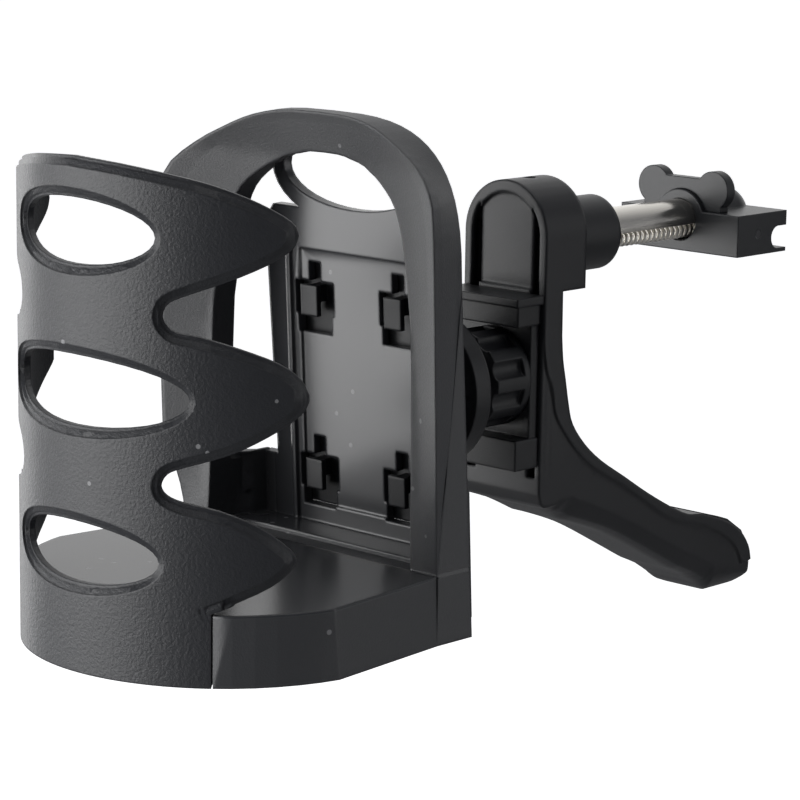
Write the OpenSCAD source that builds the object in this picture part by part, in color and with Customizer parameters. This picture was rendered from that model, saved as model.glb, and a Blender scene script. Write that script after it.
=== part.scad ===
// Car cup holder for an air vent. The origin is the centre of the jaw's blade notch.
// +Y points at the vent, +Z is up and the part is symmetric about X = 0.

/* [Cup cage] */
// outer radius of the claw and of the base's round front
cup_r = 40; // [36:0.5:46]
// wall of the claw
claw_t = 2.4; // [1.8:0.1:3.2]
// height of the claw's rim at the front
claw_h = 96; // [90:1:104]
// height of the base tray
base_h = 13.7; // [11:0.1:18]
// wall of the base, the arch and the back panel
wall = 2.4; // [1.8:0.1:3]
// plane of the arch's front flange behind the cup's axis
arch_y = 21.5; // [18:0.5:24]
// depth of the arch at its foot
arch_depth = 10; // [8:0.5:12]
// height of the arch over the base plane
arch_h = 100; // [94:1:112]
// half width of the arch at its foot
arch_half = 36; // [33:0.2:38]
// width of the arch's front flange
flange_w = 7.3; // [5:0.1:9]
// how far the claw's rails reach back under the tray's floor
tongue_len = 38; // [24:1:42]

/* [Back panel and hooks] */
// front face of the back panel behind the cup's axis
panel_y = 33.2; // [32.5:0.1:34]
// lean of the back panel in degrees, with its foot further back
panel_lean = 3.2; // [0:0.2:4]
// half width of the back panel
panel_half = 24.2; // [20:0.2:25]
// half of the distance between the two columns of hooks
hook_x = 11.6; // [9:0.2:14]
// height of the lower hooks
hook_low = 24.2; // [22:0.2:27]
// distance from the lower hooks to the upper ones
hook_pitch = 36.2; // [32:0.2:38]
// width of a hook's head
hook_head_w = 4.6; // [4.2:0.1:6]
// height of a hook's head
hook_head_h = 6.3; // [5.5:0.1:7.5]
// thickness of a hook's head
hook_head_t = 1.1; // [0.9:0.1:1.7]
// width of a hook's neck
hook_neck_w = 2.7; // [2:0.1:3.2]

/* [Ball joint] */
// height of the ball's centre over the base plane
ball_z = 41.3; // [38:0.1:45]
// centre of the ball behind the cup's axis
ball_y = 70.5; // [69:0.5:72]
// radius of the ball
ball_r = 7; // [6:0.1:7.4]
// radius of the round dish behind the hook plate
dish_r = 16.2; // [13:0.2:18]
// outer radius of the clamp nut
nut_r = 10.6; // [10:0.1:11.4]
// number of finger hollows round the clamp nut
nut_hollows = 10; // [8:1:12]

/* [Bracket] */
// front face of the bracket behind the cup's axis
body_y = 79.8; // [79:0.1:82]
// half width of the bracket
body_half = 11.4; // [10.5:0.1:13]
// thickness of the bracket's post
post_t = 5.6; // [5:0.1:7]
// depth of the bracket's head, which holds the sleeve
head_t = 12.8; // [11:0.1:15]
// height of the sleeve's axis over the base plane
sleeve_z = 69; // [67:0.2:71]
// outer radius of the sleeve
sleeve_r = 8.1; // [7:0.1:9]
// how far the sleeve stands out behind the bracket's head
sleeve_len = 15.4; // [13:0.2:18]
// how far the foot reaches behind the bracket's front face
leg_out = 74.6; // [66:0.2:82]
// how far the foot hangs below the base plane
foot_low = 17; // [12:0.2:22]

/* [Clip] */
// outer radius of the half-round rod
rod_r = 4.7; // [4:0.1:5.2]
// thickness of the rod's sheet
rod_t = 1; // [0.8:0.1:1.2]
// wall of the hood over the rod's end
hood_t = 2.1; // [1.6:0.1:2.6]
// half width of the finger grip
grip_half = 12.6; // [10:0.2:14]
// thickness of the finger grip
grip_t = 2.6; // [2:0.1:3.4]
// half width of the jaw
jaw_half = 16.6; // [12:0.2:20]
// height of the jaw
jaw_h = 9.2; // [8.4:0.1:11]
// depth of the jaw from front to back
jaw_d = 17.7; // [15:0.1:20]
// height of the blade notch
notch_h = 5; // [3:0.1:5.4]
// depth of the blade notch
notch_d = 5.4; // [4:0.1:7]
// distance from the cup's axis to the middle of the blade notch
reach = 153.2; // [150:0.2:158]
// height of the blade notch over the base plane
drop = 65.5; // [65:0.1:66]

/* [Fits] */
// gap between pieces that slide past each other
slide_gap = 0.3; // [0.2:0.05:0.4]
// radial gap of the parts that turn in each other
turn_gap = 0.06; // [0.02:0.01:0.1]

/* [Hidden] */
$fn = 72;
arch_back = arch_y + arch_depth;
panel_back = panel_y + wall;
plate_y = panel_back + slide_gap;
plate_t = 2.8;
plate_half = hook_x + 6;
dish_back = 58;
dish_t = 4.4;
nut_front = ball_y - 4;
nut_back = body_y - 3;
boss_r = nut_r - 2.2;
notch_in = reach - notch_d / 2;
jaw_back = reach + notch_d / 2;
jaw_front = jaw_back - jaw_d;
jaw_low = drop - notch_h / 2 - 0.9;
head_back = body_y + head_t;
sleeve_back = head_back + sleeve_len;
spigot_r = 6.6;
bore_r = rod_r + turn_gap;
screw_y = body_y + 7;
hood_r = rod_r + hood_t;
hole_z = arch_h - 12.7;
lean = 1.77;
cone_y = panel_y + (hole_z - ball_z) * tan(panel_lean) + (wall + slide_gap + plate_t / 2) / cos(panel_lean);

// Moves the cup's frame, with its origin on the cup's axis in the base plane, to the notch.
module placed() {
    translate([0, -reach, -drop])
        children();
}

// Smooth curve through points, with s steps between two of them.
function spline(p, s) = [
    for (i = [0 : len(p) - 2], k = [0 : s - 1])
        let (a = p[max(i - 1, 0)], b = p[i], c = p[i + 1], d = p[min(i + 2, len(p) - 1)], t = k / s)
            0.5 * (2 * b + (c - a) * t + (2 * a - 5 * b + 4 * c - d) * t * t + (3 * b - a - 3 * c + d) * t * t * t)
];
function flip(p) = [for (i = [len(p) - 1 : -1 : 0]) [-p[i][0], p[i][1]]];

// Half outline of an arch: straight leaning side, then a superellipse crown.
function crown(w, z0, top, n, k) = [
    for (i = [0 : k])
        let (a = 90 * i / k)
            [w * pow(cos(a), 2 / n), z0 + (top - z0) * pow(sin(a), 2 / n)]
];
function arch_half_line(foot, w, z0, top, n, low) = concat([[foot, low]], crown(w, z0, top, n, 16));

module arch_2d(inset, low) {
    side = arch_half_line(arch_half - inset, arch_half - 2.1 - inset, arch_h - 32, arch_h - inset, 3.1, low);
    polygon(concat(side, flip(side)));
}

module upright(y, depth) {
    translate([0, y + depth, 0])
        rotate([90, 0, 0])
            linear_extrude(depth)
                children();
}

// Plan of the base: round front and slightly narrowing straight sides.
module base_plan(inset) {
    r = cup_r - inset;
    front = [for (a = [-12 : -6 : -168]) [r * cos(a), r * sin(a)]];
    polygon(concat([[arch_half - inset, arch_back - inset], [arch_half - inset, arch_y]], front, [[inset - arch_half, arch_y], [inset - arch_half, arch_back - inset]]));
}

module ellipse_2d(rx, ry) {
    polygon([for (a = [0 : 10 : 350]) [rx * cos(a), ry * sin(a)]]);
}

// Sector of the plan, half_a degrees each side of the front.
module front_sector(half_a, r) {
    polygon(concat([[0, 0]], [for (a = [-half_a : half_a / 6 : half_a]) [r * sin(a), -r * cos(a)]]));
}

claw_seam = 42.6;
claw_steps = [[0.8, 1.1], [1.8, 0.5]];
bar_half = arch_half - flange_w + 2.2;

// The hollow under the tray; the skirt is thicker where it backs the claw's foot.
module base_hollow() {
    difference() {
        base_plan(wall);
        difference() {
            front_sector(50, cup_r);
            circle(r = cup_r - claw_t - slide_gap - 2);
        }
    }
}

module cup_frame() {
    color([0.09, 0.095, 0.105])
        placed() {
            difference() {
                union() {
                    difference() {
                        linear_extrude(base_h)
                            base_plan(0);
                        translate([-60, arch_y + 0.1, -1])
                            cube([120, 40, base_h + 2]);
                        // the skirt's sides lean as the arch does
                        for (s = [-1, 1])
                            translate([s * arch_half, arch_y, 0])
                                rotate([0, 0, s * atan((cup_r * cos(12) - arch_half) / (arch_y + cup_r * sin(12)))])
                                    rotate([0, -s * lean, 0])
                                        translate([s * 10 - 10, -60, -5])
                                            cube([20, 60, 40]);
                    }
                    arch();
                }
                translate([0, 0, -1])
                    linear_extrude(base_h - wall + 1)
                        base_hollow();
                // the claw's foot takes the front of the skirt
                difference() {
                    translate([0, 0, -1])
                        linear_extrude(base_h + 2)
                            front_sector(claw_seam + 0.4, cup_r + 2);
                    translate([0, 0, -2])
                        cylinder(r = cup_r - claw_t - slide_gap, h = base_h + 4);
                }
                // slot of the claw's two rails and of their bar
                translate([-18.4, -cup_r, base_h - wall - 3.4])
                    cube([36.8, 14, 3.2]);
            }
            back_panel();
            // guides of the claw's rails under the floor
            for (s = [-1, 1], e = [-1, 1])
                translate([s * 14 + e * 5.5 - 0.9, -26, base_h - wall - 4.4])
                    cube([1.8, 34, 4.5]);
        }
}

module arch() {
    difference() {
        upright(arch_y, arch_depth)
            difference() {
                arch_2d(0, 0);
                arch_2d(flange_w, base_h - 1);
            }
        // open channel behind the flange
        upright(arch_y + wall, arch_depth)
            difference() {
                arch_2d(wall, base_h);
                arch_2d(flange_w - 2, base_h - 1);
            }
        // the back edge leans forwards towards the top
        translate([0, arch_back, 0])
            rotate([2, 0, 0])
                translate([-60, 0, -5])
                    cube([120, 20, 130]);
        // the inner wall is shallow beside the side gaps
        upright(arch_y + 6.2, arch_depth)
            difference() {
                arch_2d(flange_w - 2.1, 26);
                arch_2d(flange_w + 3, 0);
                translate([-60, arch_h - 12])
                    square([120, 30]);
            }
    }
}

// Leans the back panel and all that lies flat on it, about a line through the crown hole.
module on_panel() {
    translate([0, panel_y, hole_z])
        rotate([panel_lean, 0, 0])
            translate([0, -panel_y, -hole_z])
                children();
}

module panel_2d() {
    difference() {
        union() {
            polygon([[-panel_half + 1, base_h - 2], [panel_half - 1, base_h - 2], [panel_half + 0.8, hole_z - 11.3], [panel_half - 1.6, hole_z - 8.3], [1.6 - panel_half, hole_z - 8.3], [-panel_half - 0.8, hole_z - 11.3]]);
            translate([0, hole_z])
                ellipse_2d(22.4, 11.3);
        }
        translate([0, hole_z])
            ellipse_2d(19.2, 7.6);
    }
}

// The head passes the wide part; its neck then runs up the slot.
module keyhole_2d() {
    w = hook_neck_w + 2 * slide_gap;
    translate([-w / 2, 0])
        square([w, 7.6]);
    translate([-5.2, -3.2])
        square([10.4, 6.8]);
    translate([-4.5, -7])
        square([9, 6]);
}

module back_panel() {
    on_panel() {
        difference() {
            union() {
                upright(panel_y, wall)
                    panel_2d();
                // crossbar
                translate([0.5 - bar_half, panel_y, 0.5])
                    cube([2 * bar_half - 1, wall, 26]);
            }
            upright(panel_y - 1, wall + 2)
                for (x = [-hook_x, hook_x], z = [hook_low, hook_low + hook_pitch])
                    translate([x, z])
                        keyhole_2d();
            // shallow field between the hooks
            upright(panel_y - 1, 1.5)
                polygon([[-15.5, base_h + 4], [15.5, base_h + 4], [15.5, 70.6], [-15.5, 70.6]]);
        }
        // ridge beside the field
        for (s = [-1, 1])
            translate([s * 18.1 - 0.6, panel_y - 0.8, base_h - 1.2])
                cube([1.2, 1.6, 61]);
    }
    difference() {
        union() {
            // side cheeks join the crossbar to the arch
            for (s = [-1, 1])
                translate([s * (bar_half - 1.2) - 1.2, arch_y + 4, 0])
                    cube([2.4, 30, 27]);
            // the tray's floor runs back to the panel
            translate([-bar_half, arch_back - 3, base_h - wall])
                cube([2 * bar_half, 30, wall]);
        }
        on_panel()
            translate([-60, panel_y + wall / 2, -20])
                cube([120, 40, 80]);
    }
    // crown web from the arch to the panel
    difference() {
        upright(arch_back - 6, panel_back - arch_back + 6)
            intersection() {
                arch_2d(flange_w - 2, hole_z);
                translate([-22, hole_z + 5.2])
                    square([44, 12]);
            }
        upright(arch_back - 8, 14)
            translate([0, hole_z])
                ellipse_2d(19.7, 8.1);
    }
}

// Heights on the claw grow with it from the tray upwards.
function on_claw(z) = z > 13.7 ? base_h + (z - 13.7) * (claw_h - base_h) / 82.3 : z;

module claw_wall() {
    rotate_extrude(angle = 360)
        translate([cup_r - claw_t, 0])
            square([claw_t, claw_h]);
}

// The side of a finger, cut by straight bars that stand square to the wall at its middle.
module finger_gap(points, grow) {
    for (s = [-1, 1])
        rotate([0, 0, s * 48])
            rotate([90, 0, 0])
                linear_extrude(cup_r + 4)
                    offset(delta = grow)
                        polygon([for (p = points) [s * (p[0] == 90 ? 1.05 : 1) * cup_r * sin(min(p[0] - 48, 60)), on_claw(p[1])]]);
}

module claw_ovals(grow) {
    for (o = [[82.3, 26.2, 6.1], [53, 35.4, 6.6], [22.7, 27.2, 5.8]])
        rotate([90, 0, 0])
            linear_extrude(cup_r + 4)
                polygon([for (a = [0 : 10 : 350]) [cup_r * sin((o[1] + grow * 1.4) * cos(a)), on_claw(o[0]) + (o[2] * (claw_h - base_h) / 82.3 + grow) * sin(a)]]);
}

// All that lies outside the claw's unrolled outline, grown by a step of its edge.
module claw_cuts(grow) {
    claw_ovals(grow);
    finger_gap(concat([[claw_seam + 0.8, 12.7], [90, 12.7], [90, 23.4]], spline([[65.2, 23.4], [63.2, 21.2], [57.9, 18.5], [47.4, 15.3], [claw_seam, 13.9]], 3), [[claw_seam, 13.9]]), grow);
    finger_gap(concat([[90, 23.4]], spline([[65.2, 23.4], [63.2, 25.4], [55.1, 29.7], [44.8, 32.8], [35.5, 34.2], [31, 35.4], [29.4, 37.2], [31, 39.4], [35.5, 40.8], [47.3, 43.3], [57.6, 46.6], [66, 50.2], [68.7, 53.2]], 3), [[68.7, 53.2], [90, 53.2]]), grow);
    finger_gap(concat([[90, 53.2]], spline([[68.7, 53.2], [66, 56.6], [60.1, 59.7], [49.7, 62.6], [39.5, 64.7], [33.2, 65.4], [30.4, 67], [29.8, 68.7], [31.4, 70.7], [36.9, 72.4], [49.6, 75.6], [59, 78.5], [63.6, 80.8], [65, 83]], 3), [[65, 83], [90, 83]]), grow);
    finger_gap(concat([[90, 83]], spline([[65, 83], [63, 85.4], [54.6, 88.8], [44.5, 91.6], [34.3, 93.4], [17.8, 95.2], [0, 96]], 3), [[0, 96], [-8, 96], [-8, 104], [90, 104]]), grow);
}

module front_claw() {
    color([0.085, 0.09, 0.1])
        placed() {
            difference() {
                claw_wall();
                // the back of the ring is open
                translate([-60, -cup_r * cos(69.5), -1])
                    cube([120, 100, claw_h + 2]);
                claw_cuts(0);
                // beside the foot the skirt takes over
                difference() {
                    translate([0, 0, -1])
                        cylinder(r = cup_r + 4, h = base_h + 1.15);
                    translate([0, 0, -2])
                        linear_extrude(base_h + 4)
                            front_sector(claw_seam, cup_r + 6);
                }
                // stepped edge round the fingers and the ovals
                for (step = claw_steps)
                    difference() {
                        claw_cuts(step[0]);
                        translate([0, 0, -1])
                            cylinder(r = cup_r - step[1], h = claw_h + 8);
                    }
            }
            // two rails that slide under the tray's floor, and the bar that joins them to the wall
            intersection() {
                union() {
                    for (s = [-1, 1])
                        translate([s * 14 - 4, -cup_r, base_h - wall - 3.1])
                            cube([8, tongue_len, 2.6]);
                    translate([-18, -cup_r, base_h - wall - 3.1])
                        cube([36, 7, 2.6]);
                }
                cylinder(r = cup_r - 1, h = 40);
            }
        }
}

module hook_plate() {
    color([0.1, 0.105, 0.11])
        placed() {
            on_panel() {
                difference() {
                    upright(plate_y, plate_t)
                        polygon([[-plate_half, hook_low - 4.8], [plate_half, hook_low - 4.8], [plate_half, hook_low + hook_pitch + 8], [-plate_half, hook_low + hook_pitch + 8]]);
                    upright(plate_y - 1, plate_t + 2)
                        translate([-5, hook_low + hook_pitch - 6])
                            square([10, 20]);
                }
                for (x = [-hook_x, hook_x], z = [hook_low, hook_low + hook_pitch]) {
                    translate([x - hook_neck_w / 2, panel_y - slide_gap - 0.1, z - 0.5])
                        cube([hook_neck_w, plate_y - panel_y + slide_gap + 0.2, 3.4]);
                    translate([x - hook_head_w / 2, panel_y - slide_gap - hook_head_t, z - hook_head_h / 2])
                        cube([hook_head_w, hook_head_t, hook_head_h]);
                }
            }
            translate([0, cone_y, ball_z])
                rotate([-90, 0, 0])
                    cylinder(r1 = 10, r2 = 13.4, h = dish_back - dish_t - cone_y + 0.1);
            difference() {
                translate([0, dish_back - dish_t, ball_z])
                    rotate([-90, 0, 0])
                        cylinder(r = dish_r, h = dish_t);
                translate([0, dish_back - 1.4, ball_z])
                    rotate([-90, 0, 0])
                        cylinder(r1 = dish_r - 5, r2 = dish_r - 2, h = 2);
            }
        }
}

module ball_stud() {
    color([0.12, 0.125, 0.13])
        placed()
            translate([0, 0, ball_z]) {
                translate([0, ball_y, 0])
                    sphere(r = ball_r);
                translate([0, dish_back - 1.4, 0])
                    rotate([-90, 0, 0])
                        cylinder(r = 4.2, h = ball_y - dish_back - 2);
                translate([0, dish_back - 1.4, 0])
                    rotate([-90, 0, 0])
                        cylinder(r = 7.5, h = 1.8);
            }
}

module clamp_nut() {
    color([0.08, 0.085, 0.09])
        placed()
            translate([0, 0, ball_z])
                difference() {
                    union() {
                        translate([0, nut_front, 0])
                            rotate([-90, 0, 0])
                                cylinder(r = nut_r, h = nut_back - nut_front - 1.6);
                        translate([0, nut_back - 1.8, 0])
                            rotate([-90, 0, 0])
                                cylinder(r = nut_r, h = 1.8);
                    }
                    for (i = [0 : nut_hollows - 1])
                        rotate([0, i * 360 / nut_hollows, 0])
                            translate([0, nut_front - 1, nut_r + 1.2])
                                rotate([-90, 0, 0])
                                    cylinder(r = 2.4, h = nut_back - nut_front - 0.8, $fn = 32);
                    translate([0, ball_y, 0])
                        sphere(r = ball_r + turn_gap);
                    translate([0, ball_y - 1, 0])
                        rotate([-90, 0, 0])
                            cylinder(r = boss_r + turn_gap, h = 20);
                    translate([0, nut_front - 1, 0])
                        rotate([-90, 0, 0])
                            cylinder(r1 = 7.4, r2 = 5.6, h = 2.4);
                }
}

module carriage() {
    color([0.11, 0.115, 0.12])
        placed() {
            difference() {
                translate([0, ball_y + 0.6, ball_z])
                    rotate([-90, 0, 0])
                        cylinder(r = boss_r, h = body_y - ball_y - 1.2);
                translate([0, ball_y, ball_z])
                    sphere(r = ball_r + turn_gap);
            }
            difference() {
                union() {
                    translate([-body_half + 1.4, body_y - slide_gap - 2.4, 22.6])
                        cube([2 * body_half - 2.8, 2.4, 35.4]);
                    translate([-body_half + 1, body_y - slide_gap - 7, 53])
                        cube([2 * body_half - 2, 7, 4.6]);
                    translate([-body_half + 0.2, body_y - slide_gap - 8.2, 57.4])
                        cube([2 * body_half - 0.4, 8.2, 1.8]);
                    translate([-body_half + 1, body_y - slide_gap - 7, 22.6])
                        cube([2 * body_half - 2, 7, 6.4]);
                    // two tongues with feet in the bracket's guide slots
                    for (s = [-1, 1]) {
                        translate([s * 8.4 - 0.9, body_y - 0.4, 24])
                            cube([1.8, 2.4, 33]);
                        translate([s * 8.4 - 1.7, body_y + 1.7, 24])
                            cube([3.4, 1.4, 33]);
                    }
                }
                translate([0, body_y - slide_gap - 3, ball_z])
                    rotate([-90, 0, 0])
                        cylinder(r = 3, h = 4);
            }
        }
}

// Places on the leg, drawn for a reach of 74.6 mm and a foot 17 mm below the base.
function on_leg(p) = [body_y + (p[0] - 79.8) * leg_out / 74.6, 60 - (60 - p[1]) * (60 + foot_low) / 77];

// Stations down the leg: a point of the rear line, then one of the rim's inner line.
leg_rim = [
    [85.5, 50, 79.8, 50], [86, 45, 80.9, 43.6], [87, 40.5, 82.9, 39], [88.2, 35, 84.2, 33.6], [89.7, 30.6, 86.6, 29.9],
    [93.9, 25.7, 91.6, 24.4], [99.4, 21.4, 98, 19.6], [107.4, 16.7, 106.3, 15.2], [115.5, 11.9, 114.4, 10.4],
    [123.8, 7.5, 122.9, 5.2], [130.4, 4.6, 129.5, 2.9], [135.5, 3.8, 134.9, 1.6], [140.4, 2.3, 139.6, -0.3],
    [145.7, 0.3, 144, -2.5], [150.3, -2.6, 147.9, -5.2], [153.4, -6.4, 150.2, -8.2], [154.4, -9.8, 151, -10.8]
];
leg_fine = concat(spline(leg_rim, 3), [leg_rim[16]]);
leg_front = concat(
    [[79.8, 60], [79.8, 16.5]],
    spline([[80.4, 14.4], [82.9, 12.9], [92.7, 9.8], [99.5, 7.4], [106.3, 4.7], [113.3, 1.3], [120.4, -2.4], [127.6, -6.2], [135, -10.2], [139, -13], [143, -15.8], [147, -17], [150.4, -16.6], [152.8, -14.6], [154, -12.2], [154.4, -9.8]], 3)
);

function back(p) = [for (i = [len(p) - 1 : -1 : 0]) p[i]];

module across(half) {
    translate([-half, 0, 0])
        rotate([90, 0, 90])
            linear_extrude(2 * half)
                children();
}

// The leg's full-width rim at the back and its slightly narrower body, whose foot is round below.
module leg() {
    across(body_half)
        polygon(concat([[body_y + post_t, 60]], [for (p = leg_fine) on_leg([p[0], p[1]])], back([for (p = leg_fine) on_leg([p[2], p[3]])]), [[body_y, 60]]));
    difference() {
        across(body_half - 0.5)
            polygon(concat([for (p = leg_front) on_leg(p)], back([for (p = leg_fine) on_leg([(p[0] + p[2]) / 2, (p[1] + p[3]) / 2])]), [[body_y + post_t / 2, 60]]));
        upright(body_y + leg_out / 3, leg_out)
            polygon(concat([for (x = [-14 : 2 : 14]) [x, 3.6 * pow(abs(x) / body_half, 2.2) - foot_low]], [[14, -40], [-14, -40]]));
    }
}

module vent_body() {
    color([0.09, 0.095, 0.1])
        placed() {
            difference() {
                union() {
                    leg();
                    // round-topped head
                    upright(body_y, head_t)
                        head_2d(0);
                    upright(body_y, post_t)
                        translate([-body_half, 50])
                            square([2 * body_half, 20]);
                }
                // recessed face between the guide slots
                upright(body_y - 1, 1.6)
                    difference() {
                        head_2d(2.6);
                        translate([-30, 0])
                            square([60, 60]);
                    }
                // guide slots with undercut
                for (s = [-1, 1]) {
                    upright(body_y - 1, 3)
                        intersection() {
                            translate([s * 8.4 - 1.2, 20])
                                square([2.4, 62]);
                            union() {
                                head_2d(1.9);
                                translate([-30, 0])
                                    square([60, 62]);
                            }
                        }
                    translate([s * 8.4 - 2, body_y + 1.4, 20])
                        cube([4, 2, 53]);
                }
                // bore of the sleeve's spigot
                translate([0, body_y + 3.6, sleeve_z])
                    rotate([-90, 0, 0])
                        cylinder(r = spigot_r + turn_gap, h = head_t);
                // hole of the set screw
                translate([0, screw_y, sleeve_z])
                    cylinder(r = 1.5, h = 30, $fn = 36);
                // hollow of the foot for its pad
                translate([-body_half + 1.4, 0, 0])
                    rotate([90, 0, 90])
                        linear_extrude(2 * body_half - 2.8)
                            polygon(concat([for (i = [4 : 9]) pad_line(0.05)[i]], [on_leg([160, -9.7]), on_leg([160, 8]), on_leg([143.4, 8])]));
            }
        }
}

module head_2d(inset) {
    translate([0, sleeve_z + 2])
        circle(r = body_half - inset);
    translate([-body_half + inset, 59.5])
        square([2 * (body_half - inset), sleeve_z + 2 - 59.5]);
}

// Side outline of the pad on the foot's vent side, grown by e towards the foot.
function pad_line(e) = [
    for (p = [[154.8, -9.6], [155, -7], [152.4, -2.9], [147, 0.6], [143.4, 1.8], [143.2 - e, 0 - e], [146.2 - e, -1.5 - e], [150.2 - e, -4.1 - e], [152.3 - e, -7.8], [152.3 - e, -9.6 - e]])
        on_leg(p)
];

module foot_pad() {
    color([0.07, 0.075, 0.08])
        placed()
            translate([-body_half + 1.5, 0, 0])
                rotate([90, 0, 90])
                    linear_extrude(2 * body_half - 3)
                        polygon(pad_line(0));
}

module set_screw() {
    color([0.5, 0.5, 0.5])
        placed()
            difference() {
                translate([0, screw_y, sleeve_z + spigot_r - 0.8])
                    cylinder(r = 1.45, h = sleeve_z + 2 + body_half - 0.6 - sleeve_z - spigot_r + 0.2, $fn = 36);
                translate([0, screw_y, sleeve_z + body_half - 0.4])
                    cylinder(r = 0.8, h = 5, $fn = 6);
            }
}

module swivel_sleeve() {
    color([0.1, 0.105, 0.115])
        placed()
            translate([0, 0, sleeve_z])
                difference() {
                    union() {
                        translate([0, head_back + slide_gap, 0])
                            rotate([-90, 0, 0])
                                cylinder(r = sleeve_r, h = sleeve_len - slide_gap);
                        translate([0, body_y + 4, 0])
                            rotate([-90, 0, 0])
                                cylinder(r = spigot_r, h = head_t);
                    }
                    // groove that the set screw runs in
                    translate([0, screw_y - 1.8, 0])
                        rotate([-90, 0, 0])
                            difference() {
                                cylinder(r = spigot_r + 1, h = 3.6);
                                translate([0, 0, -1])
                                    cylinder(r = spigot_r - 1.1, h = 6);
                            }
                    translate([0, body_y + 5.2, 0])
                        rotate([-90, 0, 0])
                            cylinder(r = bore_r, h = 60);
                }
}

rod_z = sleeve_z;
rod_in = body_y + 17.8;

module clip_rod() {
    color([0.62, 0.6, 0.56])
        placed()
            upright(rod_in, jaw_front + 12 - rod_in)
                translate([0, rod_z])
                    difference() {
                        circle(r = rod_r);
                        circle(r = rod_r - rod_t);
                        translate([-10, -20.4])
                            square([20, 20]);
                    }
}

spring_z = rod_z - 2.6;

module clip_spring() {
    color([0.6, 0.58, 0.54])
        placed()
            difference() {
                upright(sleeve_back - 3, jaw_front + 6.45 - sleeve_back + 3)
                    translate([0, spring_z])
                        circle(r = 1.7);
                upright(sleeve_back - 4, jaw_front + 8 - sleeve_back + 5)
                    translate([0, spring_z])
                        circle(r = 1.2);
            }
}

module jaw_pin() {
    color([0.55, 0.54, 0.5])
        placed()
            translate([-jaw_half + 0.3, jaw_front + 7.4, rod_z - 2.3])
                rotate([0, 90, 0])
                    cylinder(r = 0.9, h = 2 * jaw_half - 0.3);
}

module blade_jaw() {
    color([0.1, 0.105, 0.115])
        placed()
            difference() {
                union() {
                    translate([-jaw_half, jaw_front, jaw_low])
                        cube([2 * jaw_half, jaw_d, jaw_h]);
                    // hood over the rod's end
                    upright(jaw_front, 14)
                        translate([0, rod_z])
                            circle(r = hood_r);
                    translate([0, jaw_front + 14, rod_z])
                        sphere(r = hood_r);
                }
                // nothing of the hood hangs below the jaw
                translate([-30, jaw_front - 5, jaw_low - 20])
                    cube([60, 60, 20]);
                // seat of the rod and of the spring
                upright(jaw_front - 1, 13.5)
                    translate([0, rod_z])
                        circle(r = rod_r + 0.02);
                // blade notch
                translate([-30, jaw_back - notch_d + notch_h / 2, drop])
                    rotate([0, 90, 0])
                        cylinder(r = notch_h / 2, h = 60);
                translate([-30, jaw_back - notch_d + notch_h / 2, drop - notch_h / 2])
                    cube([60, 20, notch_h]);
                // hole of the pin
                translate([-jaw_half - 1, jaw_front + 7.4, rod_z - 2.3])
                    rotate([0, 90, 0])
                        cylinder(r = 0.9, h = 2 * jaw_half + 2);
            }
}

// The grip is a bone-shaped plate that stands on the jaw and straddles its hood.
module finger_grip() {
    lobe = 4.3;
    color([0.1, 0.105, 0.115])
        placed()
            difference() {
                upright(jaw_front + 1, grip_t)
                    union() {
                        for (s = [-1, 1])
                            translate([s * (grip_half - lobe), rod_z + 7.1])
                                circle(r = lobe);
                        translate([lobe - grip_half, rod_z])
                            square([2 * (grip_half - lobe), 9.5]);
                        translate([-grip_half + 1.8, rod_z])
                            square([2 * grip_half - 3.6, 4.6]);
                    }
                upright(jaw_front - 4, 12)
                    union() {
                        translate([0, rod_z])
                            circle(r = hood_r + 0.02);
                        translate([-30, rod_z - 30])
                            square([60, 30 + jaw_low + jaw_h - rod_z + 0.02]);
                    }
            }
}

cup_frame();
front_claw();
hook_plate();
ball_stud();
clamp_nut();
carriage();
vent_body();
foot_pad();
set_screw();
swivel_sleeve();
clip_rod();
clip_spring();
jaw_pin();
blade_jaw();
finger_grip();
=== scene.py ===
# This lesson gives them their plastics and metals, bends copies of four pieces to their real curves, winds
# the spring, and sets the lamps and the camera.

# %% Load the solids
import math
import bmesh
import bpy
from mathutils import Matrix, Vector


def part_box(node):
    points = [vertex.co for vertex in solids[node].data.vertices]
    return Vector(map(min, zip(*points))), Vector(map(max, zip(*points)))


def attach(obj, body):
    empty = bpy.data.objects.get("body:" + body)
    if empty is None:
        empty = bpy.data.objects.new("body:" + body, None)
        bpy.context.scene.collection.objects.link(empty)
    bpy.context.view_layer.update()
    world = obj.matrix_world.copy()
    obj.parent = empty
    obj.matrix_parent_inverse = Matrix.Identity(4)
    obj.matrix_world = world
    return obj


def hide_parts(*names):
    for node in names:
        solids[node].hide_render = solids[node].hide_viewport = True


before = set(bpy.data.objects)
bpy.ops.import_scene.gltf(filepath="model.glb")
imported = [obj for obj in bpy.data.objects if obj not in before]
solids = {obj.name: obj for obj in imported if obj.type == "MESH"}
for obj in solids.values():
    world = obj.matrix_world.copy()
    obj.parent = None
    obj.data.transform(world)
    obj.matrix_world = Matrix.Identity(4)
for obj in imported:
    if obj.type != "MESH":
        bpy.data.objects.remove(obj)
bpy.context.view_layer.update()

print("solids:", len(solids))

# %% [markdown]
# ## Writing finishes as sums
# A finish is a web of nodes. Wiring each node by hand hides the idea, so a small class wraps a socket and
# lets + - * and the like add the Math nodes. Its reflected forms make 1 - mask work as well.

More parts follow.
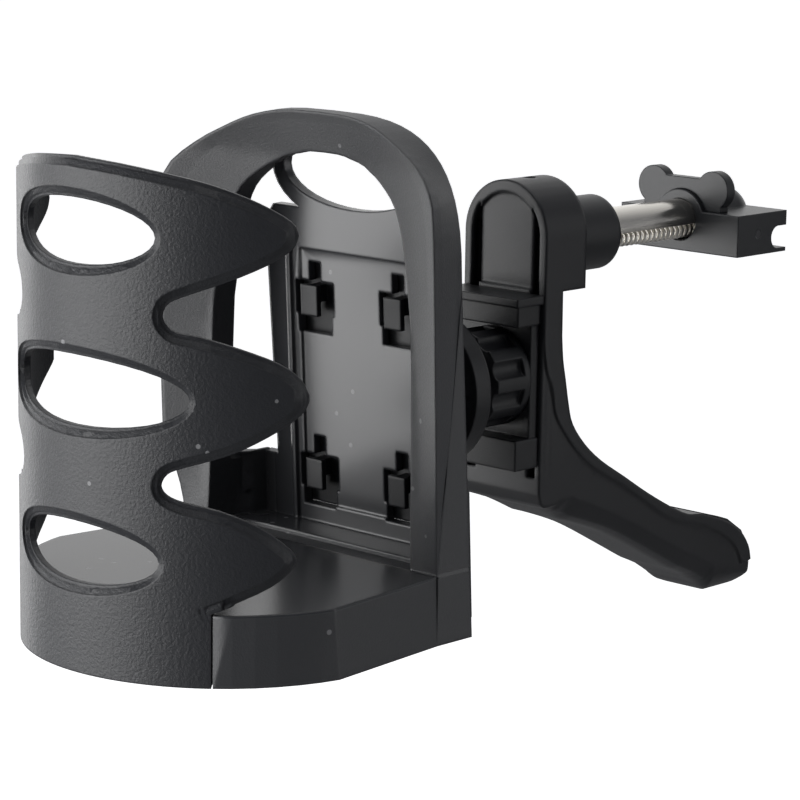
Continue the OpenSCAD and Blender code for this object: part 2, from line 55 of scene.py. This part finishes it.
# %% A socket that can be added and multiplied
class Flow:
    def __init__(self, finish, socket):
        self.finish, self.socket, self.node = finish, socket, socket.node

    def math(self, operation, a, b=0.0):
        return self.finish.node("ShaderNodeMath", {"operation": operation}, {0: a, 1: b})

    def __add__(self, other):
        return self.math("ADD", self, other)

    def __radd__(self, other):
        return self.math("ADD", other, self)

    def __sub__(self, other):
        return self.math("SUBTRACT", self, other)

    def __rsub__(self, other):
        return self.math("SUBTRACT", other, self)

    def __mul__(self, other):
        return self.math("MULTIPLY", self, other)

    def __rmul__(self, other):
        return self.math("MULTIPLY", other, self)

    def __truediv__(self, other):
        return self.math("DIVIDE", self, other)

    def __rtruediv__(self, other):
        return self.math("DIVIDE", other, self)

    def __gt__(self, other):
        return self.math("GREATER_THAN", self, other)

    def __lt__(self, other):
        return self.math("LESS_THAN", self, other)

    def __abs__(self):
        return self.math("ABSOLUTE", self)

    def clamp(self):
        return self.math("MINIMUM", self.math("MAXIMUM", self, 0.0), 1.0)


print("sums are written with:", "+ - * / < > abs clamp")

# %% [markdown]
# Every other node comes from one method: its settings are set first, and then the values or links of its
# sockets. The short methods after it only save typing.

# %% A web of nodes and its one way to add a node
class Web:
    def __init__(self, tree):
        self.tree = tree

    def node(self, kind, settings=None, sockets=None, out=0):
        made = self.tree.nodes.new(kind)
        for key, value in (settings or {}).items():
            setattr(made, key, value)
        for key, value in (sockets or {}).items():
            self.feed(made.inputs[key], value)
        return Flow(self, made.outputs[out])

    def feed(self, socket, value):
        if isinstance(value, Flow):
            self.tree.links.new(value.socket, socket)
        else:
            socket.default_value = value

    def place(self):
        return self.node("ShaderNodeTexCoord", out="Object")

    def noise(self, place, scale, detail=2.0, rough=0.5):
        sockets = {"Vector": place, "Scale": scale, "Detail": detail, "Roughness": rough}
        return self.node("ShaderNodeTexNoise", {}, sockets)

    def blend(self, factor, a, b):
        return self.node("ShaderNodeMix", {"data_type": "RGBA"}, {0: factor, 6: a, 7: b}, out=2)

    def vector(self, operation, a, b, out=0):
        return self.node("ShaderNodeVectorMath", {"operation": operation}, {0: a, 1: b}, out=out)

    def rounded(self, radius):
        return self.node("ShaderNodeBevel", {"samples": 8}, {"Radius": radius})

    def bump(self, height, depth, normal):
        sockets = {"Strength": 1.0, "Distance": depth, "Height": height, "Normal": normal}
        return self.node("ShaderNodeBump", {}, sockets)

    def ramp(self, value, low, high):
        return ((value - low) / (high - low)).clamp()


print("helpers:", [name for name in vars(Web) if name[0] != "_"])

# %% [markdown]
# A finish ends at the Principled shader, which suits plastic and metal alike. Its sockets are set by name.

# %% A finish
class Finish(Web):
    def __init__(self, name):
        self.material = bpy.data.materials.new(name)
        self.material.use_nodes = True
        super().__init__(self.material.node_tree)
        self.surface = self.tree.nodes["Principled BSDF"]

    def set(self, **sockets):
        for key, value in sockets.items():
            self.feed(self.surface.inputs[key.replace("_", " ")], value)


def scaled(colour, factor):
    return (*[channel * factor for channel in colour], 1)


print("a tone scaled to 86 %:", scaled((0.5, 0.5, 0.5), 0.86))

# %% [markdown]
# ## Black moulded plastic
# The cage, the claw, the bracket and the clip are black plastic whose mould was etched to a fine grain. The
# grain could be a picture, but noise at about half a millimetre stays sharp at any distance. The grain breaks
# the sheen up, so the roughness follows it a little. A soft edge radius catches the light, and where dust is
# wanted, a few specks lie on the colour.

# %% Grained plastic
DUST = (0.3, 0.3, 0.31, 1)


def dusted(finish, place, shade, specks):
    cell = finish.node("ShaderNodeTexVoronoi", {}, {"Vector": place, "Scale": 190.0})
    lottery = finish.noise(place, 47.0, 1.0)
    dust = (cell < 0.1) * (lottery > 0.57)
    return finish.blend(dust * specks, shade, DUST)


def grained_plastic(name, colour, rough, grain, depth, edge, specks=0.0, shine=0.5, polish=None):
    finish = Finish(name)
    place = finish.place()
    glossy = polish(finish, place) if polish else 0.0
    fine = finish.noise(place, grain, 3.0, 0.6)
    broad = finish.noise(place, 28.0, 3.0, 0.55)
    shade = finish.blend(broad, scaled(colour, 0.86), scaled(colour, 1.14))
    if specks:
        shade = dusted(finish, place, shade, specks)
    grain_left = 1 - glossy * 0.85 if polish else 1.0
    waver = ((fine - 0.5) * 0.16 + (broad - 0.5) * 0.1) * grain_left
    finish.set(Base_Color=shade, Roughness=(rough + waver - glossy * 0.22).clamp())
    finish.set(Normal=finish.bump(fine * grain_left, depth, finish.rounded(edge)))
    finish.set(IOR=1.5, Specular_IOR_Level=shine)
    return finish.material


print("dust tone:", DUST)

# %% [markdown]
# The back panel and the tray's floor are smoother than the rest of the cage, because those faces of the mould
# were polished. A mask in the part's own metres finds them: the panel lies between the arch's legs, and the
# floor is one level face.

# %% Where the cage's mould was polished
PANEL_HALF = 0.0246
PANEL_FRONT = -0.1212
PANEL_TOP = 0.03
TRAY_FLOOR = -0.0518


def polished_inside(finish, place):
    apart = finish.node("ShaderNodeSeparateXYZ", {}, {0: place}).node
    x, y, z = (Flow(finish, apart.outputs[i]) for i in range(3))
    panel = (abs(x) < PANEL_HALF) * (y > PANEL_FRONT) * (z < PANEL_TOP)
    tray = (abs(z - TRAY_FLOOR) < 0.0004) * (y < PANEL_FRONT)
    return (panel + tray).clamp()


print("polished panel:", 2 * PANEL_HALF, "m wide")

# %% [markdown]
# Six plastics share the recipe. The claw is the most deeply etched, the bracket and the joint are darker and
# finer, and the foot's pad is dull rubber.

# %% The six plastics
cage_plastic = grained_plastic("cage plastic", (0.030, 0.031, 0.034), 0.46, 2300, 0.00005, 0.0009,
                               specks=0.35, shine=0.58, polish=polished_inside)
claw_plastic = grained_plastic("claw plastic", (0.016, 0.017, 0.020), 0.43, 1700, 0.00012, 0.0005,
                               specks=0.45, shine=0.46)
bracket_plastic = grained_plastic("bracket plastic", (0.010, 0.0105, 0.0125), 0.38, 2600, 0.00002, 0.0012,
                                  shine=0.38)
joint_plastic = grained_plastic("joint plastic", (0.008, 0.0085, 0.010), 0.40, 2600, 0.00003, 0.0007,
                                shine=0.36)
clip_plastic = grained_plastic("clip plastic", (0.014, 0.015, 0.017), 0.34, 2600, 0.00002, 0.0005,
                               shine=0.42)
pad_rubber = grained_plastic("pad rubber", (0.011, 0.0115, 0.013), 0.55, 2000, 0.00003, 0.0003)
plastics = (cage_plastic, claw_plastic, bracket_plastic, joint_plastic, clip_plastic, pad_rubber)
print("plastics:", [material.name for material in plastics])

# %% [markdown]
# ## Drawn steel
# The rod is folded from steel strip, so its fine drawing lines run along it. Noise that is stretched along Y
# gives such lines, and they only change the roughness and the bump.

# %% Steel of the rod, the spring, the pin and the screw
ALONG_Y = (1.0, 0.04, 1.0)


def drawn_steel(name, colour, rough):
    finish = Finish(name)
    lines = finish.noise(finish.vector("MULTIPLY", finish.place(), ALONG_Y), 2600.0, 3.0, 0.6)
    tone = finish.noise(finish.place(), 60.0, 2.0)
    finish.set(Base_Color=finish.blend(tone, scaled(colour, 0.9), scaled(colour, 1)), Metallic=1.0)
    finish.set(Roughness=(rough + (lines - 0.5) * 0.2).clamp())
    finish.set(Normal=finish.bump(lines, 0.00001, finish.rounded(0.0002)))
    return finish.material


rod_steel = drawn_steel("rod steel", (0.84, 0.81, 0.75), 0.20)
# painted light: bright steel, set lighter than the rod's to offset the shade the spring lies in between the
# rod and the jaw
lightened_spring_steel = drawn_steel("spring steel", (0.95, 0.92, 0.86), 0.36)
pin_steel = drawn_steel("pin steel", (0.07, 0.07, 0.075), 0.45)
print("steels:", rod_steel.name, lightened_spring_steel.name, pin_steel.name)

# %% [markdown]
# ## Giving each solid its finish
# A solid's look is set in its material slot, so its mesh stays as it was packed.

# %% Finishes on the solids
worn_by = {
    cage_plastic: ["cup_frame"],
    claw_plastic: ["front_claw"],
    bracket_plastic: ["vent_body", "swivel_sleeve"],
    joint_plastic: ["hook_plate", "ball_stud", "clamp_nut", "carriage"],
    clip_plastic: ["blade_jaw", "finger_grip"],
    pad_rubber: ["foot_pad"],
    rod_steel: ["clip_rod"],
    pin_steel: ["set_screw", "jaw_pin"],
    lightened_spring_steel: ["clip_spring"],
}


def dress(piece, material):
    piece.data.materials.clear()
    piece.data.materials.append(material)


for material, names in worn_by.items():
    for name in names:
        dress(solids[name], material)
print("dressed:", sum(len(names) for names in worn_by.values()))

# %% [markdown]
# ## Bent copies
# The source keeps some faces flat that are curved on the real holder. A solid's own mesh may not change, so a
# finely divided copy is bent and takes its place. Each bend is a function that says how far a point moves.
# Bends are easiest to think of in millimetres from the cup's axis and the base plane, so points are turned
# into those first.

# %% Millimetres from the cup's axis
TO_CUP = Vector((0, 0.1532, 0.0655))


def in_cup(point):
    return (point + TO_CUP) * 1000


def clamp(value):
    return min(1.0, max(0.0, value))


print("the cage's lowest corner:", [round(c) for c in in_cup(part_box("cup_frame")[0])], "mm")

# %% [markdown]
# ### How wide the arch is
# The arch's outer edge is fuller than the source's up to the shoulders, and its opening narrows sooner. Each
# row holds a height, the edge's half width in the source and its real half width, all in mm.

# %% Half widths of the arch
OUTER_EDGE = [(14, 35.6, 36.6), (30, 35.1, 38.4), (43, 34.7, 38.5), (68, 33.9, 38.2), (77, 33.6, 37.8),
              (82, 33.0, 37.5), (86.5, 31.8, 36.8), (88, 31.1, 35.3), (89.5, 30.3, 33.8), (91, 29.4, 31.9),
              (92.5, 28.2, 29.6), (94, 26.7, 26.9), (95.5, 24.7, 23.6), (97, 22.0, 20.3), (98, 19.5, 17.6),
              (99, 15.8, 14.0), (100, 8.0, 7.0)]
INNER_EDGE = [(14, 28.4, 28.0), (50, 27.3, 27.8), (60, 26.9, 27.4), (66, 26.7, 26.4), (72, 26.5, 25.2),
              (78, 25.9, 23.5), (82, 25.0, 22.0), (84, 24.1, 20.6), (86, 22.9, 18.6), (88, 21.0, 16.0),
              (90, 18.1, 12.6), (92, 12.0, 7.2), (93, 6, 4)]
SOURCE, REAL = 1, 2


def along(table, z, column):
    for low, high in zip(table, table[1:]):
        if z <= high[0]:
            part = max(0, z - low[0]) / (high[0] - low[0])
            return low[column] + (high[column] - low[column]) * part
    return table[-1][column]


print("half width at 80 mm:", along(OUTER_EDGE, 80, REAL), "instead of", along(OUTER_EDGE, 80, SOURCE))

# %% [markdown]
# ### How the arch bows
# The front flange bows round the cup. Its face follows a parabola across the arch and leans back towards the
# top. The bend grows from the tray upwards and fades out behind the flange, so the back panel stays where the
# hooks need it. The ends of the bar behind the arch's foot are tucked in.

# %% Bow of the arch
TRAY_TOP = 13.9
OPENING_TOP = 92.7
FLANGE_FRONT, FLANGE_BACK = 21.5, 28.4
BAR_FRONT, BAR_SIDE = 31.8, 26.5


def bowed_face(x, z):
    return 27.23 - 0.007 * x ** 2 - 0.0316 * (z - 60) - 0.295 * max(z - 91, 0)


def bow_arch(point):
    x, y, z = in_cup(point)
    if y > BAR_FRONT and abs(x) > BAR_SIDE:
        return Vector((math.copysign(0.65 * (abs(x) - BAR_SIDE), -x), 0, 0)) / 1000
    if y < FLANGE_FRONT - 0.2 or y > FLANGE_BACK or z < TRAY_TOP:
        return Vector()
    inner, outer = along(INNER_EDGE, z, SOURCE), along(OUTER_EDGE, z, SOURCE)
    across = clamp(max((abs(x) - inner) / (outer - inner), (z - OPENING_TOP) / 5))
    scale = (1 - across) * along(INNER_EDGE, z, REAL) / inner + across * along(OUTER_EDGE, z, REAL) / outer
    rise = clamp((z - TRAY_TOP) / 16)
    fade = clamp(1 - (y - FLANGE_FRONT) / 6.5)
    seam = clamp((FLANGE_BACK - y) / 0.6)
    wide = (scale - 1) * x * rise * (fade if across > 0.5 else seam)
    most = 0.3 + 0.12 * max(0, z - 60)
    forward = min(bowed_face(x + wide, z) - FLANGE_FRONT, most) * rise * fade
    sink = -0.9 * clamp((z - 84) / 8) * (1 - across) * seam
    return Vector((wide, forward, sink)) / 1000


print("face of the bow at the middle and at the edge:", bowed_face(0, 60), bowed_face(35, 60))

# %% [markdown]
# ### The hook plate and the claw
# The hook plate reaches a little lower than the source's, as the light under its hooks tells. It is
# lengthened by moving its lower edge along the leaned panel. The claw's stepped edge runs out smoothly where
# it meets the skirt, so the outer points of the step are pushed out to the wall.

# %% A longer plate and a smooth seam
PLATE_FOOT = 20.3
LOWER = Vector((0, 0.00013, -0.0023))
WALL = 39.98


def lengthen_plate(point):
    return LOWER if in_cup(point).z < PLATE_FOOT else Vector()


def smooth_seam(point):
    x, y, z = in_cup(point)
    reach = math.hypot(x, y)
    near = 8 < z < 15.6 and 38.4 < reach < 39.95 and abs(x) > 0.6 * reach and y < 0
    return Vector((x / reach, y / reach, 0)) * (WALL - reach) / 1000 if near else Vector()


print("plate lengthened by", round(LOWER.length * 1000, 2), "mm")

# %% [markdown]
# ### The leg's round front
# The leg's slanting front has two round edges. Depth is measured square to that front. Near each side the
# front is pushed inwards along a quarter circle, and what that takes away from the outline is given back by
# making the front a little fuller.

# %% Round edges of the leg
LEG_TOP = 19
ROUND = 4.5
FULLER = 1.3
LEG_DEPTH = 9
INWARDS = Vector((0, 0.454, 0.891))


def round_leg(point):
    x, y, z = in_cup(point)
    depth = (z - 9.8 + 0.509 * (y - 92.7)) / 1.122
    if y < 81.5 or z > LEG_TOP or not -3 < depth < LEG_DEPTH:
        return Vector()
    corner = clamp((abs(x) - 6.4) / ROUND)
    inset = ROUND * (1 - math.sqrt(1 - corner ** 2)) * clamp((y - 81.5) / 8) * clamp((LEG_TOP - z) / 7)
    fuller = FULLER * clamp((y - 84) / 8) * clamp((140 - y) / 10)
    return INWARDS * (inset - fuller) * clamp(1 - depth / LEG_DEPTH) / 1000


print("edge radius:", ROUND, "mm, front fuller by", FULLER, "mm")

# %% [markdown]
# ### Making the copies
# A copy is welded and its edges are cut in half until they are short enough to follow the bend, but only
# where it moves. After the bend, edges under 16 degrees are shaded smooth, and weighted normals keep the flat
# faces even.

# %% Bend a copy of a solid
def bent_copy(node, name, bend, finest=0.0035):
    form = bmesh.new()
    form.from_mesh(node.data)
    bmesh.ops.remove_doubles(form, verts=form.verts, dist=1e-6)
    for reach in (0.02, 0.01, 0.005, 0.0035, finest):
        moved = {vertex for vertex in form.verts if bend(vertex.co).length > 1e-5}
        long = [e for e in form.edges if e.calc_length() > reach and not moved.isdisjoint(e.verts)]
        bmesh.ops.subdivide_edges(form, edges=long, cuts=1)
        bmesh.ops.triangulate(form, faces=form.faces)
    for vertex in form.verts:
        vertex.co += bend(vertex.co)
    mesh = bpy.data.meshes.new(name)
    form.to_mesh(mesh)
    form.free()
    mesh.polygons.foreach_set("use_smooth", [True] * len(mesh.polygons))
    mesh.set_sharp_from_angle(angle=math.radians(16))
    piece = bpy.data.objects.new(name, mesh)
    bpy.context.scene.collection.objects.link(piece)
    even = piece.modifiers.new("even shading", "WEIGHTED_NORMAL")
    even.keep_sharp, even.weight = True, 80
    return piece


bowed_cage = bent_copy(solids["cup_frame"], "bowed_cage", bow_arch)
long_hooks = bent_copy(solids["hook_plate"], "long_hooks", lengthen_plate)
smooth_claw = bent_copy(solids["front_claw"], "smooth_claw", smooth_seam)
rounded_bracket = bent_copy(solids["vent_body"], "rounded_bracket", round_leg, 0.0014)
for piece in (bowed_cage, long_hooks, smooth_claw, rounded_bracket):
    print(piece.name, "faces:", len(piece.data.polygons))

# %% [markdown]
# Each copy then takes the place of its solid and rides on the same body, so it moves with its joint.

# %% Put the copies in place
places = [
    (bowed_cage, "cup_frame", "cage", cage_plastic),
    (long_hooks, "hook_plate", "hanger", joint_plastic),
    (smooth_claw, "front_claw", "claw", claw_plastic),
    (rounded_bracket, "vent_body", "bracket", bracket_plastic),
]
for piece, node, body, material in places:
    dress(piece, material)
    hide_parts(node)
    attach(piece, body)
    print(piece.name, "replaces", node, "and rides on", body)

# %% [markdown]
# ## The spring
# The source holds the spring as a plain tube. Its real form is a wire wound in a helix, and a curve with a
# round bevel gives just that. It replaces the tube and rides with the clip.

# %% Wind the spring
WIRE_RADIUS = 0.00045
TURNS = 24
STEPS_A_TURN = 14


def wound_spring(name, low, high):
    middle = (low + high) / 2
    radius = (high.x - low.x) / 2 - WIRE_RADIUS
    length = high.y - low.y - 2 * WIRE_RADIUS
    line = bpy.data.curves.new(name, "CURVE")
    line.dimensions, line.use_fill_caps = "3D", True
    line.bevel_depth, line.bevel_resolution = WIRE_RADIUS, 3
    steps = STEPS_A_TURN * TURNS
    path = line.splines.new("POLY")
    path.points.add(steps)
    for i, point in enumerate(path.points):
        turn = 2 * math.pi * i / STEPS_A_TURN
        y = low.y + WIRE_RADIUS + length * i / steps
        point.co = (middle.x + radius * math.cos(turn), y, middle.z + radius * math.sin(turn), 1)
    wound = bpy.data.objects.new(name + "_line", line)
    bpy.context.scene.collection.objects.link(wound)
    with bpy.context.temp_override(object=wound, selected_objects=[wound]):
        evaluated = wound.evaluated_get(bpy.context.evaluated_depsgraph_get())
        mesh = bpy.data.meshes.new_from_object(evaluated)
    piece = bpy.data.objects.new(name, mesh)
    bpy.context.scene.collection.objects.link(piece)
    bpy.data.objects.remove(wound)
    mesh.polygons.foreach_set("use_smooth", [True] * len(mesh.polygons))
    return piece


spring = wound_spring("wound_spring", *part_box("clip_spring"))
dress(spring, lightened_spring_steel)
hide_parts("clip_spring")
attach(spring, "clip")
print("spring faces:", len(spring.data.polygons))

# %% [markdown]
# ## Floor
# The holder hangs from its clip, so the floor lies well below it. It is a wide sheet of pale paper. Part of
# its white is a glow that only the camera sees, so it puts no light on the holder and still shows a shadow.
# In reflections the paper is painted darker, a painted shade for the dim far side of a studio, so that black
# plastic keeps dark sides.

# %% Paper floor
FLOOR_SIZE = 30.0
FLOOR_Z = -0.42
PAPER = (0.93, 0.93, 0.93)
BLACK, WHITE = (0, 0, 0, 1), (1, 1, 1, 1)


def paper_sheet(name, size, height):
    mesh = bpy.data.meshes.new(name)
    half = size / 2
    corners = [(-half, -half, 0), (half, -half, 0), (half, half, 0), (-half, half, 0)]
    mesh.from_pydata(corners, [], [(0, 1, 2, 3)])
    sheet = bpy.data.objects.new(name, mesh)
    sheet.location = (0, 0, height)
    bpy.context.scene.collection.objects.link(sheet)
    paper = Finish(name)
    seen = paper.node("ShaderNodeLightPath", out="Is Camera Ray")
    mirrored = paper.node("ShaderNodeLightPath", out="Is Glossy Ray")
    # painted shade: the paper's colour falls to 30 % where it is seen in a reflection
    paper.set(Base_Color=paper.blend(mirrored, scaled(PAPER, 1), scaled(PAPER, 0.3)), Roughness=0.9)
    paper.set(Emission_Color=paper.blend(seen, BLACK, (0.8, 0.8, 0.8, 1)), Emission_Strength=1.0)
    mesh.materials.append(paper.material)
    return sheet


floor = paper_sheet("paper floor", FLOOR_SIZE, FLOOR_Z)

# %% [markdown]
# ## Surround
# The camera sees a white room. Reflections see the same room with its grey sides: it is white straight behind
# the holder and falls off around it, which gives the rod a bright top and the black plastic a grey sheen. All
# other light from the room is dim, so that the soft lamps draw the form.

# %% White room
BEHIND = (-0.686, 0.727, 0.0)
DIM = (0.22, 0.225, 0.24, 1)
GREY_SIDE = (0.13, 0.133, 0.145, 1)


def white_room(behind):
    room = bpy.data.worlds.new("white room")
    bpy.context.scene.world = room
    room.use_nodes = True
    room.node_tree.nodes.clear()
    air = Web(room.node_tree)
    look = air.node("ShaderNodeTexCoord", out="Generated")
    far = air.ramp(air.vector("DOT_PRODUCT", look, behind, out="Value"), 0.2, 1.0)
    seen = air.node("ShaderNodeLightPath", out="Is Camera Ray")
    mirrored = air.node("ShaderNodeLightPath", out="Is Glossy Ray")
    tone = air.blend(mirrored, DIM, air.blend(far, GREY_SIDE, WHITE))
    sky = air.node("ShaderNodeBackground", {}, {"Color": air.blend(seen, tone, WHITE), "Strength": 1.0})
    # the output has no socket of its own to pass on, so it is added by hand
    end = air.tree.nodes.new("ShaderNodeOutputWorld")
    air.feed(end.inputs["Surface"], sky)


white_room(BEHIND)
print("world:", bpy.context.scene.world.name)

# %% [markdown]
# ## Soft lamps
# Large rectangles draw long highlights without hard edges. The left softbox lights every face that looks
# forwards, the top one lights the rims, and a strip at each side gives the edges a thin line of light.

# %% Four soft lamps
CUP_MIDDLE = Vector((0, -0.1532, -0.02))


def soft_lamp(name, place, width, height, power):
    light = bpy.data.lights.new(name, "AREA")
    light.shape, light.size, light.size_y, light.energy = "RECTANGLE", width, height, power
    lamp = bpy.data.objects.new(name, light)
    lamp.location = place
    lamp.rotation_mode = "QUATERNION"
    lamp.rotation_quaternion = (CUP_MIDDLE - Vector(place)).to_track_quat("-Z", "Y")
    bpy.context.scene.collection.objects.link(lamp)


soft_lamp("left softbox", (-0.50, -1.13, 0.0), 1.42, 1.0, 21)
soft_lamp("top softbox", (0.0, -0.05, 0.9), 1.0, 0.8, 3.5)
soft_lamp("far left strip", (-1.09, -0.06, 0.0), 0.5, 1.0, 5.0)
soft_lamp("right strip", (0.86, 0.46, 0.1), 0.50, 0.9, 1.6)
print("lamps:", [light.name for light in bpy.data.lights])

# %% [markdown]
# ## Camera
# The camera stands a little above the holder, at the angle at which the claw's ovals, the arch's legs and
# the jaw's edges all fall where they should. Its turn is built from three axes. Its lens follows from a focal
# length that is counted in the picture's dots.

# %% Camera
AZIMUTH, PITCH, ROLL = (math.radians(a) for a in (43.33, 10.99, 0.87))
EYE = Vector((0.41479, -0.54466, 0.09149))
FOCAL_PIXELS = 3016.4
PICTURE_PIXELS = 800
SENSOR = 36

facing = Vector((-math.sin(AZIMUTH), math.cos(AZIMUTH), 0))
ahead = facing * math.cos(PITCH) - Vector((0, 0, math.sin(PITCH)))
level = Vector((math.cos(AZIMUTH), math.sin(AZIMUTH), 0))
upright = level.cross(ahead)
right = math.cos(ROLL) * level + math.sin(ROLL) * upright
up = math.cos(ROLL) * upright - math.sin(ROLL) * level
lens = bpy.data.cameras.new("camera")
lens.sensor_width = SENSOR
lens.lens = SENSOR * FOCAL_PIXELS / PICTURE_PIXELS
lens.clip_start, lens.clip_end = 0.05, 30
camera = bpy.data.objects.new("camera", lens)
bpy.context.scene.collection.objects.link(camera)
camera.matrix_world = Matrix.Translation(EYE) @ Matrix((right, up, -ahead)).transposed().to_4x4()
bpy.context.scene.camera = camera
bpy.context.scene.view_settings.view_transform = "Standard"
print("camera distance:", round((EYE - CUP_MIDDLE).length, 3))

# %% [markdown]
# Clothes may not change a body's measure.
